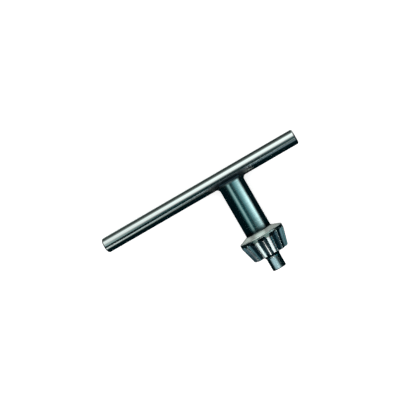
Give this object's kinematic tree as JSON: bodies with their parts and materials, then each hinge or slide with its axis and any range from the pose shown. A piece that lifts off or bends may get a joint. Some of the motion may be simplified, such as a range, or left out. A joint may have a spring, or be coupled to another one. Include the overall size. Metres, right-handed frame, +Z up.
{
  "type": "drill chuck key",
  "caption": "T-shaped drill chuck key: a round bar handle welded across a turned stem with a bevel pinion and a round pilot.",
  "frame": {"origin": "on the ground under the middle of the key's box, the key lying as it comes to rest", "axes": "+Z up; +X along the bar, from its long side to its short side; the stem and pilot point along -Y, rising by about 9 degrees"},
  "size_m": [0.1102, 0.0564, 0.0232],
  "materials": {
    "bar_steel": "drawn and bright plated, fine lines along the bar",
    "stem_steel": "turned and hardened, bright plated, fine rings round the stem, darker in the tooth grooves"
  },
  "bodies": {
    "root": {"handle_bar": "bar_steel", "pinion_stem": "stem_steel"}
  },
  "joints": []
}
